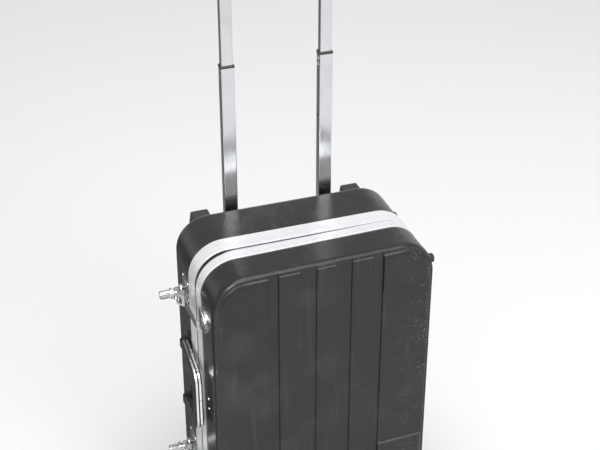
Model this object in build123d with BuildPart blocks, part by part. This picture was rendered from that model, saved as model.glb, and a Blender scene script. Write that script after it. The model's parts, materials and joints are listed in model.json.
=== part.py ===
from build123d import *
import os

# Rolling flight case: two hard shells in an aluminium frame, a two-stage pull handle, draw locks,
# a folding side handle and two wheels. X runs across the case, +Y to its back, +Z up.
# The origin is on the floor, in the case's middle plane, under the front foot rail.

os.makedirs("parts", exist_ok=True)

# ---- case body ----
case_width = 400.0
case_height = 540.0
corner_radius = 60.0
shell_wall = 3.0
front_edge_radius = 16.0
back_edge_radius = 14.0
lid_shell_depth = 70.0
lid_frame_depth = 22.0
back_frame_depth = 34.0
back_shell_depth = 98.0
ground_clearance = 52.0
foot_inset = 34.0            # from the front face back to the middle of the foot rail

# ---- relief of the front and back faces ----
pad_raise = 2.0
pad_inner_x = 103.0
upper_pad_height = 80.5
lower_pad_height = 125.0
pad_corner_radius = 8.0
groove_depth = 3.5
groove_slope = 1.2
groove_round = 1.9
pad_slope = 50.0             # degrees the pads' edges lean back
groove_bands = [(18.2, 45.6), (86.0, 103.0)]
back_groove_bands = [(18.2, 45.6)]

# ---- aluminium frame ----
frame_proud = 1.75
frame_inner_wall = 2.0
frame_web = 6.0
frame_edge_radius = 0.8
rib_groove_width = 1.1
rib_groove_depth = 0.8
back_rib_groove = 14.4       # from the split back to the fine groove
lid_rib_groove = 14.0
split_gap = 0.4
lip_gap = 0.5
lip_thickness = 1.5
lip_length = 7.5
gasket_outer_inset = 0.5
gasket_width = 2.0
gasket_depth = 2.5
gasket_recess = 0.15
corner_ease = 14.0           # the lip and the gasket's inner edge turn the corners this much wider
lining_gap = 0.2
lining_thickness = 2.0

# ---- lid hinges ----
hinge_axis_out = 6.0         # hinge axis outside the shell's right side
lid_ajar = 1.6               # degrees, as it rests with the locks open
hinge_inset = 95.0           # case end to the middle of a hinge
hinge_length = 54.0
hinge_knuckle_radius = 3.2
hinge_pin_radius = 1.5
hinge_leaf_thickness = 1.6
hinge_leaf_width = 20.0
knuckle_gap = 0.3
leaf_relief = 3.7            # leaf starts this far from the split beside the other leaf's knuckle
rivet_radius = 1.9
rivet_height = 0.9

# ---- running fits ----
running_clearance = 0.05

# ---- draw locks ----
lock_inset = 98.5            # case end to the middle of a lock
lock_pivot_out = 12.0
lock_pivot_back = 14.0       # behind the frame's back edge
hook_pin_out = 11.0          # hook pin from the lock's pivot, along the open barrel
lock_pivot_radius = 2.0
barrel_radius = 7.5
lock_block_radius = barrel_radius - 0.5
barrel_length = 38.0
barrel_start = 6.0
collar_radius = barrel_radius + 2.0
collar_start = hook_pin_out + 5.0
collar_length = 4.0
core_radius = 4.2
core_depth = 18.0
core_proud = 0.8
keyway_width = 1.2
keyway_length = 5.0
keyway_depth = 5.0
base_thickness = 1.6
base_width = 44.0
base_height = 44.0
cheek_thickness = 1.6
hook_pin_forward = 4.0
hook_pin_radius = 1.6
hook_arm_inner = barrel_radius + 0.5
hook_arm_outer = hook_arm_inner + 2.6
cheek_inner = hook_arm_outer + 0.4
hook_eye_radius = 3.4
hook_sheet = 1.6
hook_tip_width = 15.0
hook_catch_gap = 0.7
keeper_height = 42.0
keeper_depth = 36.0
keeper_setback = 1.5
keeper_thickness = 2.4
catch_from_frame = 17.0      # ridge's back face in front of the frame
catch_thickness = 3.0
catch_height = 4.4
catch_width = 16.0
catch_clearance = 0.6

# ---- side handle ----
handle_pivot_out = 11.5
handle_pivot_back = 14.0
handle_pin_radius = 3.0
handle_root_half = 62.0
handle_grip_half = 52.0
handle_reach = 92.0
handle_outset = 3.5
handle_bend_radius = 16.0
handle_section = (15.0, 19.0)
handle_corner = 4.0
handle_eye_radius = 8.0
handle_eye_length = 14.0
trim_width = 3.2
trim_height = 0.7
trim_spacing = 6.0
bracket_plate = 2.5
bracket_depth = 30.0
lug_thickness = 3.0
lug_gap = 0.3
handle_lug_radius = 5.5
handle_neck = 10.0

# ---- pull handle ----
tube_pitch = 176.8
housing_section = (28.0, 21.0)
housing_wall = 1.7
stage1_section = (24.0, 17.0)
stage1_wall = 1.2
stage2_section = (21.0, 13.0)
stage2_wall = 1.2
tube_corner = 2.0
tube_front_gap = 11.2        # back face to the housing tubes
housing_length = 470.0
bracket_drop = 30.0          # case top down to the upper bracket's top
tube_bracket_height = 32.0
tube_bracket_margin = 9.0
stage1_rise = 262.0          # stage-one tube end above the case top, extended
stage1_overlap = 90.0
stage1_collar_height = 4.0
collar_rim = 0.6
collar_slip = 0.2
stage2_rise = 206.0          # grip's underside above the stage-one collar, extended
stage2_overlap = 80.0
shoe_length = 22.0
shoe_flange = 8.0
shoe_slip = 0.1
lock_hole_radius = 2.5
lock_hole_drop = 118.0
grip_width = 210.0
grip_depth = 30.0
grip_height = 28.0
grip_end_drop = 18.0
grip_cover_thickness = 3.0
grip_wall = 4.0
button_length = 52.0
button_width = 13.0
button_height = 6.0
button_proud = 2.8
button_travel = 2.2
rod_radius = 2.5

# ---- corner blocks and feet ----
stand_off_x = 143.0
stand_off_top_width = 32.0
stand_off_base_width = 42.0
stand_off_height = 40.0
stand_off_drop = 16.0
stand_off_depth = 38.0
side_foot_inset = 49.0       # case end to a side foot's middle
lid_side_foot_y = 25.0
back_side_foot_y = 175.0
side_foot_radius = 8.5
lid_foot_height = 6.5
back_foot_height = 2.5
stud_radius = 5.2
stud_height = 3.6

# ---- wheels ----
wheel_x = 165.0
wheel_radius = 27.0
wheel_width = 22.0
tyre_thickness = 7.0
hub_width = 24.0
axle_radius = 3.0
axle_behind_back = 12.0
bearing_radius = 8.0
bearing_width = 6.0
cheek_gap = 1.5
wheel_cheek = 5.0
wheel_gap = 3.0
wheel_block_depth = 38.0
wheel_block_top = 130.0
axle_head_radius = 5.5
axle_head_length = 2.5

# ---- foot rail ----
rail_length = 260.0
rail_top_length = 284.0
rail_width = 26.0
rail_skid_height = 10.0
rail_leg = 46.0
rail_pad = 4.0
rail_screw_x = 118.0

# ---- places worked out from the sizes above ----
front_y = -foot_inset
lid_frame_y = front_y + lid_shell_depth
split_y = lid_frame_y + lid_frame_depth
frame_end_y = split_y + back_frame_depth
back_y = frame_end_y + back_shell_depth
case_bottom_z = ground_clearance
case_top_z = case_bottom_z + case_height
mid_z = (case_bottom_z + case_top_z) / 2
side_x = case_width / 2
panel_y = front_y + pad_raise
hinge_x = side_x + hinge_axis_out
lid_axis = Axis((hinge_x, split_y, 0), (0, 0, 1))
lock_heights = {"upper": case_top_z - lock_inset, "lower": case_bottom_z + lock_inset}
hinge_heights = [case_bottom_z + hinge_inset, case_top_z - hinge_inset]
tube_y = back_y + tube_front_gap + housing_section[1] / 2
frame_inner_inset = shell_wall + frame_inner_wall
lip_outer_inset = frame_inner_inset + lip_gap
lip_inner_inset = lip_outer_inset + lip_thickness


def facing_front(y, x=0.0, z=mid_z):
    """Upright plane at y: its x is +X, its y is +Z, and it faces the front."""
    return Plane(origin=(x, y, z), x_dir=(1, 0, 0), z_dir=(0, -1, 0))


def facing_left(x, y=0.0, z=0.0):
    """Upright plane at x: its x points to the front, its y is +Z, and it faces -X."""
    return Plane(origin=(x, y, z), x_dir=(0, -1, 0), z_dir=(-1, 0, 0))


def facing_right(x, y=0.0, z=0.0):
    """Upright plane at x: its x points to the back, its y is +Z, and it faces +X."""
    return Plane(origin=(x, y, z), x_dir=(0, 1, 0), z_dir=(1, 0, 0))


def level(z, x=0.0, y=0.0):
    """Level plane at z."""
    return Plane(origin=(x, y, z), x_dir=(1, 0, 0), z_dir=(0, 0, 1))


def outline(inset=0.0, turn=0.0, mode=Mode.ADD):
    """Sketch of the case's rounded front outline, inset all round, with its corners eased by turn."""
    RectangleRounded(case_width - 2 * inset, case_height - 2 * inset, corner_radius - inset + turn, mode=mode)


def ring(outer_inset, inner_inset, y, depth, mode=Mode.ADD, outer_turn=0.0, inner_turn=0.0):
    """Closed band that follows the case's outline, from y towards the back."""
    with BuildSketch(facing_front(y)) as section:
        outline(outer_inset, outer_turn)
        outline(inner_inset, inner_turn, Mode.SUBTRACT)
    extrude(section.sketch, amount=-depth, mode=mode)


def save(name, part):
    """Label a finished piece and write it."""
    part.label = name
    export_step(part, f"parts/{name}.step")


def save_on_lid(name, part):
    """Write a piece of the lid, which stands ajar on its hinges."""
    save(name, part.rotate(lid_axis, lid_ajar))


def cut_grooves(bands, y_panel):
    """Cut the full-height grooves into the front face at y_panel, with round lips and corners."""
    floor = y_panel + groove_depth
    lip = y_panel - 0.02
    high_end = y_panel - 6
    with BuildSketch(level(case_bottom_z - 1)) as section:
        for low, high in bands:
            inner_run = [(low - groove_slope - 6, high_end), (low - groove_slope - 6, lip),
                         (low - groove_slope, lip), (low, floor)]
            if high < pad_inner_x:
                outer_run = [(high, floor), (high + groove_slope, lip), (high + groove_slope + 6, lip),
                             (high + groove_slope + 6, high_end)]
            else:
                wall_run = groove_slope * (floor - high_end) / groove_depth
                outer_run = [(high, floor), (high + wall_run, high_end)]
            for side in (-1, 1):
                with BuildLine():
                    FilletPolyline(*[(side * x, y) for x, y in inner_run + outer_run],
                                   radius=groove_round, close=True)
                make_face()
    extrude(section.sketch, amount=case_height + 2, mode=Mode.SUBTRACT)


# ---- back shell and frame ----
with BuildPart() as back_shell:
    with BuildSketch(facing_front(split_y + frame_web)):
        outline()
    extrude(amount=-(back_y - split_y - frame_web))
    fillet(faces().sort_by(Axis.Y)[-1].edges(), back_edge_radius)
    offset(amount=-shell_wall, openings=faces().sort_by(Axis.Y)[0])
    with BuildSketch(facing_front(back_y - shell_wall - groove_depth)):
        for low, high in back_groove_bands:
            with Locations((-(low + high) / 2, 0), ((low + high) / 2, 0)):
                Rectangle(high - low + 2 * shell_wall, case_height - 4 * back_edge_radius)
    extrude(amount=-groove_depth)
    with BuildSketch(facing_front(back_y - groove_depth)):
        for low, high in back_groove_bands:
            with Locations((-(low + high) / 2, 0), ((low + high) / 2, 0)):
                RectangleRounded(high - low, case_height - 6 * back_edge_radius, 8)
    extrude(amount=-groove_depth, mode=Mode.SUBTRACT)
save("back_shell", back_shell.part)

with BuildPart() as back_frame:
    with BuildSketch(facing_front(split_y)):
        outline(-frame_proud)
    extrude(amount=-back_frame_depth)
    fillet(faces().sort_by(Axis.Y)[0].edges(), frame_edge_radius)
    fillet(faces().sort_by(Axis.Y)[-1].edges(), frame_edge_radius)
    ring(-frame_proud - 1, -frame_proud + rib_groove_depth, split_y + back_rib_groove,
         rib_groove_width, Mode.SUBTRACT)
    ring(0, shell_wall, split_y + frame_web, back_frame_depth, Mode.SUBTRACT)
    with BuildSketch(facing_front(split_y + frame_web)):
        outline(frame_inner_inset)
    extrude(amount=-back_frame_depth, mode=Mode.SUBTRACT)
    with BuildSketch(facing_front(split_y)):
        outline(lip_inner_inset, corner_ease)
    extrude(amount=-frame_web, mode=Mode.SUBTRACT)
    ring(lip_outer_inset, lip_inner_inset, split_y - lip_length, lip_length, Mode.ADD,
         corner_ease, corner_ease)
    ring(gasket_outer_inset, gasket_outer_inset + gasket_width, split_y, gasket_depth, Mode.SUBTRACT,
         0, corner_ease)
save("back_frame", back_frame.part)

with BuildPart() as frame_gasket:
    ring(gasket_outer_inset, gasket_outer_inset + gasket_width, split_y + gasket_recess,
         gasket_depth - gasket_recess, Mode.ADD, 0, corner_ease)
save("frame_gasket", frame_gasket.part)

with BuildPart() as back_lining:
    with BuildSketch(facing_front(frame_end_y)):
        outline(shell_wall + lining_gap)
    extrude(amount=-(back_shell_depth - shell_wall - groove_depth - lining_gap))
    fillet(faces().sort_by(Axis.Y)[-1].edges(), back_edge_radius)
    offset(amount=-lining_thickness, openings=faces().sort_by(Axis.Y)[0])
save("back_lining", back_lining.part)

# ---- front shell and frame ----
with BuildPart() as front_shell:
    with BuildSketch(facing_front(front_y)):
        outline()
    extrude(amount=-(split_y - split_gap - frame_web - front_y))
    fillet(faces().sort_by(Axis.Y)[0].edges(), front_edge_radius)
    offset(amount=-shell_wall, openings=faces().sort_by(Axis.Y)[-1])
    with BuildSketch(facing_front(front_y + shell_wall)):
        outline(shell_wall)
    extrude(amount=-pad_raise)
    with BuildSketch(facing_front(panel_y + shell_wall)):
        for low, high in groove_bands:
            with Locations((-(low + high) / 2, 0), ((low + high) / 2, 0)):
                Rectangle(high - low + 2 * shell_wall, case_height - 2 * shell_wall)
    extrude(amount=-groove_depth)
    with BuildSketch(facing_front(panel_y)) as panel_sketch:
        Rectangle(2 * pad_inner_x, case_height + 2)
        band_top = case_height / 2 - upper_pad_height
        band_bottom = -case_height / 2 + lower_pad_height
        with Locations((0, (band_top + band_bottom) / 2)):
            Rectangle(case_width + 2, band_top - band_bottom)
        inner_corners = [v for v in panel_sketch.vertices()
                         if abs(abs(v.X) - pad_inner_x) < 0.1 and case_bottom_z + 1 < v.Z < case_top_z - 1]
        fillet(inner_corners, pad_corner_radius)
    extrude(amount=pad_raise + 0.5, taper=-pad_slope, mode=Mode.SUBTRACT)
    cut_grooves(groove_bands, panel_y)
save_on_lid("front_shell", front_shell.part)

with BuildPart() as front_frame:
    with BuildSketch(facing_front(lid_frame_y)):
        outline(-frame_proud)
    extrude(amount=-(lid_frame_depth - split_gap))
    fillet(faces().sort_by(Axis.Y)[0].edges(), frame_edge_radius)
    fillet(faces().sort_by(Axis.Y)[-1].edges(), frame_edge_radius)
    ring(-frame_proud - 1, -frame_proud + rib_groove_depth, split_y - lid_rib_groove,
         rib_groove_width, Mode.SUBTRACT)
    ring(0, shell_wall, lid_frame_y, lid_frame_depth - split_gap - frame_web, Mode.SUBTRACT)
    with BuildSketch(facing_front(lid_frame_y)):
        outline(frame_inner_inset)
    extrude(amount=-lid_frame_depth, mode=Mode.SUBTRACT)
save_on_lid("front_frame", front_frame.part)

lid_lining_y = panel_y + shell_wall + groove_depth + lining_gap
with BuildPart() as lid_lining:
    with BuildSketch(facing_front(lid_lining_y)):
        outline(shell_wall + lining_gap)
    extrude(amount=-(lid_frame_y - lid_lining_y))
    fillet(faces().sort_by(Axis.Y)[0].edges(), front_edge_radius)
    offset(amount=-lining_thickness, openings=faces().sort_by(Axis.Y)[-1])
save_on_lid("lid_lining", lid_lining.part)

# ---- hinges on the right side ----
leaf_x = side_x + frame_proud
knuckle = hinge_length / 3


def hinge_leaf(toward):
    """Leaves of both hinges on one half; toward is +1 for the back half, -1 for the lid."""
    own = [0] if toward < 0 else [-knuckle, knuckle]
    other = [-knuckle, knuckle] if toward < 0 else [0]
    leaf_y = split_y + toward * (hinge_leaf_width / 2 + 0.6)
    for height in hinge_heights:
        with BuildSketch(facing_right(leaf_x, leaf_y, height)) as section:
            RectangleRounded(hinge_leaf_width, hinge_length, 2)
        extrude(section.sketch, amount=hinge_leaf_thickness)
        for rise in own:
            with BuildSketch(level(height + rise - knuckle / 2 + knuckle_gap / 2)) as section:
                with Locations((hinge_x, split_y)):
                    Circle(hinge_knuckle_radius)
                reach = hinge_x - leaf_x
                with Locations((leaf_x + reach / 2, split_y + toward * 1.9)):
                    Rectangle(reach, 2.6)
            extrude(section.sketch, amount=knuckle - knuckle_gap)
        for rise in other:
            with BuildSketch(level(height + rise - knuckle / 2 - knuckle_gap / 2)) as section:
                with Locations((leaf_x + 3, split_y + toward * leaf_relief / 2)):
                    Rectangle(10, leaf_relief)
            extrude(section.sketch, amount=knuckle + knuckle_gap, mode=Mode.SUBTRACT)
        bore = hinge_pin_radius + (running_clearance if toward < 0 else 0)
        with BuildSketch(level(height - hinge_length / 2 - 1)) as section:
            with Locations((hinge_x, split_y)):
                Circle(bore)
        extrude(section.sketch, amount=hinge_length + 2, mode=Mode.SUBTRACT)


def leaf_rivets(toward):
    """Low domed rivet heads on the hinge leaves of one half."""
    for height in hinge_heights:
        rivet_y = split_y + toward * (hinge_leaf_width * 0.62)
        plane = facing_right(leaf_x + hinge_leaf_thickness, rivet_y, height)
        with BuildSketch(plane) as section:
            with Locations((0, -knuckle), (0, 0), (0, knuckle)):
                Circle(rivet_radius)
        extrude(section.sketch, amount=rivet_height, taper=25)


with BuildPart() as hinge_back_leaves:
    hinge_leaf(1)
save("hinge_back_leaves", hinge_back_leaves.part)

with BuildPart() as hinge_lid_leaves:
    hinge_leaf(-1)
save_on_lid("hinge_lid_leaves", hinge_lid_leaves.part)

with BuildPart() as hinge_pins:
    for height in hinge_heights:
        with BuildSketch(level(height - hinge_length / 2)):
            with Locations((hinge_x, split_y)):
                Circle(hinge_pin_radius)
        extrude(amount=hinge_length)
save("hinge_pins", hinge_pins.part)

# ---- draw locks on the left side ----
lock_x = -side_x - lock_pivot_out
lock_y = frame_end_y + lock_pivot_back
hook_pin_x = lock_x - hook_pin_out
hook_pin_y = lock_y - hook_pin_forward
# closing tilts the barrel to the back and carries the hook pin by this much
hook_pull_x = hook_pin_out - hook_pin_forward
hook_pull_y = hook_pin_forward + hook_pin_out
keeper_y = lid_frame_y - keeper_setback
catch_back_y = lid_frame_y - catch_from_frame
catch_top_x = -side_x - base_thickness - catch_height
hook_inner_x = catch_top_x - catch_clearance - hook_pull_x
hook_lip_back_y = catch_back_y - catch_thickness - hook_catch_gap - hook_pull_y
base_mid_y = frame_end_y + 1 + base_width / 2


with BuildPart() as lock_bases:
    for height in lock_heights.values():
        with BuildSketch(facing_left(-side_x, base_mid_y, height)):
            RectangleRounded(base_width, base_height, 6)
        extrude(amount=base_thickness)
        for low in (height + cheek_inner, height - cheek_inner - cheek_thickness):
            with BuildSketch(level(low)):
                with Locations((lock_x, lock_y)):
                    Circle(5)
                with Locations((-side_x - lock_pivot_out / 2, lock_y)):
                    Rectangle(lock_pivot_out, 10)
                with Locations((-side_x - 1.5, lock_y)):
                    Rectangle(3, 26)
            extrude(amount=cheek_thickness)
        with BuildSketch(level(height - base_height / 2)):
            with Locations((lock_x, lock_y)):
                Circle(lock_pivot_radius)
        extrude(amount=base_height, mode=Mode.SUBTRACT)
save("lock_bases", lock_bases.part)

with BuildPart() as lock_pivot_pins:
    for height in lock_heights.values():
        reach = cheek_inner + cheek_thickness
        with BuildSketch(level(height - reach)):
            with Locations((lock_x, lock_y)):
                Circle(lock_pivot_radius)
        extrude(amount=2 * reach)
        for low in (height - reach - 1.2, height + reach):
            with BuildSketch(level(low)):
                with Locations((lock_x, lock_y)):
                    Circle(3.4)
            extrude(amount=1.2)
save("lock_pivot_pins", lock_pivot_pins.part)


def lock_barrel(height):
    """Tilting barrel, standing straight out as it does with the lock open."""
    with BuildPart() as barrel:
        with BuildSketch(level(height - lock_block_radius)):
            with Locations((lock_x, lock_y)):
                Circle(lock_block_radius)
            with Locations((lock_x - hook_pin_out / 2, lock_y)):
                Rectangle(hook_pin_out, 2 * lock_block_radius)
        extrude(amount=2 * lock_block_radius)
        with BuildSketch(facing_left(lock_x - barrel_start, lock_y, height)):
            Circle(barrel_radius)
        extrude(amount=barrel_length - barrel_start)
        fillet(faces().sort_by(Axis.X)[0].edges(), 1.2)
        with BuildSketch(facing_left(lock_x - collar_start, lock_y, height)):
            Circle(collar_radius)
        extrude(amount=collar_length)
        with BuildSketch(level(height - collar_radius - 1)):
            with Locations((lock_x, lock_y)):
                Circle(lock_pivot_radius + running_clearance)
            with Locations((hook_pin_x, hook_pin_y)):
                Circle(hook_pin_radius)
        extrude(amount=2 * collar_radius + 2, mode=Mode.SUBTRACT)
        with BuildSketch(facing_left(lock_x - barrel_length, lock_y, height)):
            Circle(core_radius + running_clearance)
        extrude(amount=-core_depth - running_clearance, mode=Mode.SUBTRACT)
    return barrel.part


def lock_core(height):
    """Key plug in the barrel's end."""
    with BuildPart() as core:
        with BuildSketch(facing_left(lock_x - barrel_length - core_proud, lock_y, height)):
            Circle(core_radius)
        extrude(amount=-core_depth - core_proud)
        with BuildSketch(facing_left(lock_x - barrel_length - core_proud, lock_y, height)):
            SlotOverall(keyway_length, keyway_width, rotation=90)
        extrude(amount=-keyway_depth, mode=Mode.SUBTRACT)
    return core.part


def hook_pin(height):
    """Pin that joins the hook to the barrel."""
    with BuildPart() as pin:
        with BuildSketch(level(height - hook_arm_outer)):
            with Locations((hook_pin_x, hook_pin_y)):
                Circle(hook_pin_radius)
        extrude(amount=2 * hook_arm_outer)
    return pin.part


def lock_hook(height):
    """Bent sheet hook: two eyes on the pin, a tapered tongue and a lip that drops behind the catch."""
    arm_x = hook_pin_x
    step_y = lock_y - lock_block_radius - hook_pull_y
    outer_x = hook_inner_x - hook_sheet
    with BuildPart() as hook:
        with BuildSketch(level(height - hook_arm_outer)):
            with Locations((hook_pin_x, hook_pin_y)):
                Circle(hook_eye_radius)
            with BuildLine():
                Polyline(
                    (arm_x - 1.5, hook_pin_y), (arm_x + 1.5, hook_pin_y), (arm_x + 1.5, step_y),
                    (hook_inner_x, step_y - 9), (hook_inner_x, hook_lip_back_y),
                    (hook_inner_x + catch_height - 1, hook_lip_back_y),
                    (hook_inner_x + catch_height - 1, hook_lip_back_y - 2.6),
                    (outer_x, hook_lip_back_y - 2.6), (outer_x, step_y - 10), (arm_x - 1.5, step_y),
                    close=True)
            make_face()
        extrude(amount=2 * hook_arm_outer)
        slot_low_y = step_y - 6
        with BuildSketch(facing_left(hook_pin_x + 12, 0, height)):
            with Locations((-(slot_low_y + 25), 0)):
                RectangleRounded(50, 2 * hook_arm_inner, 3)
        extrude(amount=24, mode=Mode.SUBTRACT)
        taper_y = slot_low_y - 8
        for side in (-1, 1):
            with BuildSketch(facing_left(hook_pin_x + 16, 0, height)):
                with BuildLine():
                    tip_y = hook_lip_back_y - 4
                    Polyline((-taper_y, side * hook_arm_outer), (-tip_y, side * hook_tip_width / 2),
                             (-tip_y, side * (hook_arm_outer + 1)), (-taper_y, side * (hook_arm_outer + 1)),
                             close=True)
                make_face()
            extrude(amount=32, mode=Mode.SUBTRACT)
        with BuildSketch(level(height - hook_arm_outer - 1)):
            with Locations((hook_pin_x, hook_pin_y)):
                Circle(hook_pin_radius + running_clearance)
        extrude(amount=2 * hook_arm_outer + 2, mode=Mode.SUBTRACT)
    return hook.part


for name, height in lock_heights.items():
    save(f"lock_barrel_{name}", lock_barrel(height))
    save(f"lock_core_{name}", lock_core(height))
    save(f"hook_pin_{name}", hook_pin(height))
    save(f"lock_hook_{name}", lock_hook(height))

with BuildPart() as keepers:
    for height in lock_heights.values():
        with BuildSketch(facing_left(-side_x, keeper_y, height)):
            with BuildLine():
                Polyline((0, keeper_height / 2), (0, -keeper_height / 2))
                ThreePointArc((0, -keeper_height / 2), (keeper_depth, 0), (0, keeper_height / 2))
            make_face()
        extrude(amount=keeper_thickness)
    fillet(keepers.faces().filter_by(Axis.X).sort_by(Axis.X)[:2].edges(), 0.9)
    for height in lock_heights.values():
        with BuildSketch(facing_left(-side_x, catch_back_y, height)):
            with Locations((catch_thickness / 2, 0)):
                RectangleRounded(catch_thickness, catch_width, 1.4)
        extrude(amount=base_thickness + catch_height)
save_on_lid("lock_keepers", keepers.part)

with BuildPart() as lid_rivets:
    leaf_rivets(-1)
    for height in lock_heights.values():
        with BuildSketch(facing_left(-side_x - keeper_thickness, keeper_y - 7, height)):
            with Locations((0, -14), (0, 14), (20, 0)):
                Circle(rivet_radius)
        extrude(amount=rivet_height, taper=25)
    with BuildSketch(facing_left(-side_x, front_y + 47, mid_z)):
        with Locations((0, -10.5), (0, 10.5)):
            Circle(2.4)
    extrude(amount=1.2, taper=25)
save_on_lid("lid_rivets", lid_rivets.part)

with BuildPart() as case_rivets:
    leaf_rivets(1)
    for height in lock_heights.values():
        with BuildSketch(facing_left(-side_x - base_thickness, base_mid_y, height)):
            with Locations((-16, -17), (-16, 17), (16, -17), (16, 17)):
                Circle(rivet_radius)
        extrude(amount=rivet_height, taper=25)
save("case_rivets", case_rivets.part)

# ---- side handle ----
handle_x = -side_x - handle_pivot_out
handle_y = frame_end_y + handle_pivot_back
handle_plane = Plane(origin=(handle_x, handle_y, mid_z), x_dir=(-handle_outset, -handle_reach, 0),
                     z_dir=(-handle_reach, handle_outset, 0))
arm_start = handle_lug_radius + 0.8
trim_places = [(side * trim_spacing / 2, -handle_section[1] / 2) for side in (-1, 1)]

with BuildPart() as handle_bail:
    with BuildLine(handle_plane) as bail_path:
        neck_end = arm_start + handle_neck
        FilletPolyline((arm_start, handle_root_half), (neck_end, handle_root_half),
                       (handle_reach, handle_grip_half), (handle_reach, -handle_grip_half),
                       (neck_end, -handle_root_half), (arm_start, -handle_root_half),
                       radius=handle_bend_radius)
    start_plane = Plane(origin=bail_path.wire() @ 0, x_dir=handle_plane.z_dir, z_dir=bail_path.wire() % 0)
    with BuildSketch(start_plane):
        RectangleRounded(*handle_section, handle_corner)
    sweep(path=bail_path.wire())
    for side in (-1, 1):
        middle = mid_z + side * handle_root_half
        with BuildSketch(level(middle - handle_eye_length / 2)):
            with Locations((handle_x, handle_y)):
                Circle(handle_eye_radius)
        extrude(amount=handle_eye_length)
    with BuildSketch(level(mid_z - handle_root_half - handle_eye_length)):
        with Locations((handle_x, handle_y)):
            Circle(handle_pin_radius + running_clearance)
    extrude(amount=2 * (handle_root_half + handle_eye_length), mode=Mode.SUBTRACT)
    with BuildSketch(start_plane):
        with Locations(*trim_places):
            Rectangle(trim_width, 2 * trim_height)
    sweep(path=bail_path.wire(), mode=Mode.SUBTRACT)
save("handle_bail", handle_bail.part)

with BuildPart() as handle_trim:
    with BuildSketch(start_plane):
        with Locations(*trim_places):
            Rectangle(trim_width, 2 * trim_height)
    sweep(path=bail_path.wire())
save("handle_trim", handle_trim.part)

lug_offset = handle_eye_length / 2 + lug_gap
with BuildPart() as handle_brackets:
    for side in (-1, 1):
        middle = mid_z + side * handle_root_half
        with BuildSketch(facing_left(-side_x, frame_end_y + 1 + bracket_depth / 2, middle)):
            RectangleRounded(bracket_depth, 2 * (lug_offset + lug_thickness) + 8, 4)
        extrude(amount=bracket_plate)
        for low in (middle + lug_offset, middle - lug_offset - lug_thickness):
            with BuildSketch(level(low)):
                with Locations((handle_x, handle_y)):
                    Circle(handle_lug_radius)
                with Locations(((handle_x - side_x) / 2, handle_y)):
                    Rectangle(handle_pivot_out, 2 * handle_lug_radius)
            extrude(amount=lug_thickness)
            with BuildSketch(level(low)):
                with Locations((handle_x, handle_y)):
                    Circle(handle_pin_radius)
            extrude(amount=lug_thickness, mode=Mode.SUBTRACT)
save("handle_brackets", handle_brackets.part)

with BuildPart() as handle_pins:
    for side in (-1, 1):
        middle = mid_z + side * handle_root_half
        reach = lug_offset + lug_thickness
        with BuildSketch(level(middle - reach)):
            with Locations((handle_x, handle_y)):
                Circle(handle_pin_radius)
        extrude(amount=2 * reach)
        for low in (middle - reach - 2, middle + reach):
            with BuildSketch(level(low)):
                with Locations((handle_x, handle_y)):
                    Circle(4.6)
            extrude(amount=2)
save("handle_pins", handle_pins.part)

# ---- pull handle ----
upper_bracket_top = case_top_z - bracket_drop
housing_bottom_z = upper_bracket_top - housing_length
stage1_top_z = case_top_z + stage1_rise
stage1_bottom_z = upper_bracket_top - stage1_overlap
collar_top_z = stage1_top_z + stage1_collar_height
grip_bottom_z = collar_top_z + stage2_rise
grip_bar_z = grip_bottom_z + grip_end_drop
grip_top_z = grip_bar_z + grip_height
stage2_bottom_z = stage1_top_z - stage2_overlap
cavity_floor_z = grip_bar_z + grip_cover_thickness
cavity_top_z = grip_top_z - grip_wall


def grown(section, by):
    """A section made larger all round."""
    return (section[0] + 2 * by, section[1] + 2 * by)


def tube(section, wall, x, low, high):
    """Rectangular tube with rounded corners, standing between two heights."""
    with BuildSketch(level(low, x, tube_y)) as profile:
        RectangleRounded(*section, tube_corner)
        RectangleRounded(*grown(section, -wall), tube_corner - wall / 2, mode=Mode.SUBTRACT)
    extrude(profile.sketch, amount=high - low)


def block(section, x, low, high, mode=Mode.ADD, radius=tube_corner):
    """Upright block with rounded corners on a tube's axis."""
    with BuildSketch(level(low, x, tube_y)) as profile:
        RectangleRounded(*section, radius)
    extrude(profile.sketch, amount=high - low, mode=mode)


tube_sides = {"left": -tube_pitch / 2, "right": tube_pitch / 2}
for name, x in tube_sides.items():
    with BuildPart() as housing:
        tube(housing_section, housing_wall, x, housing_bottom_z, upper_bracket_top)
    save(f"housing_tube_{name}", housing.part)

    with BuildPart() as lower_tube:
        tube(stage1_section, stage1_wall, x, stage1_bottom_z, stage1_top_z)
        inner_face = facing_right if x < 0 else facing_left
        face_x = x + (1 if x < 0 else -1) * stage1_section[0] / 2
        with BuildSketch(inner_face(face_x, tube_y, stage1_top_z - lock_hole_drop)):
            Circle(lock_hole_radius)
        extrude(amount=-2 * stage1_wall, mode=Mode.SUBTRACT)
        with BuildSketch(facing_left(x - stage1_section[0] / 2, tube_y, stage1_top_z)):
            with Locations((0, -9), (0, -19)):
                RectangleRounded(6, 4, 1)
        extrude(amount=-2 * stage1_wall, mode=Mode.SUBTRACT)
    save(f"lower_tube_{name}", lower_tube.part)

    with BuildPart() as upper_tube:
        tube(stage2_section, stage2_wall, x, stage2_bottom_z, cavity_floor_z)
    save(f"upper_tube_{name}", upper_tube.part)

with BuildPart() as stage1_collars:
    for x in tube_sides.values():
        block(grown(stage1_section, collar_rim), x, stage1_top_z, collar_top_z)
    chamfer(faces().filter_by(Axis.Z).sort_by(Axis.Z)[-2:].edges(), 0.8)
    for x in tube_sides.values():
        block(grown(stage2_section, collar_slip), x, stage1_top_z - 1, collar_top_z + 1, Mode.SUBTRACT)
save("stage1_collars", stage1_collars.part)

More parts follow.
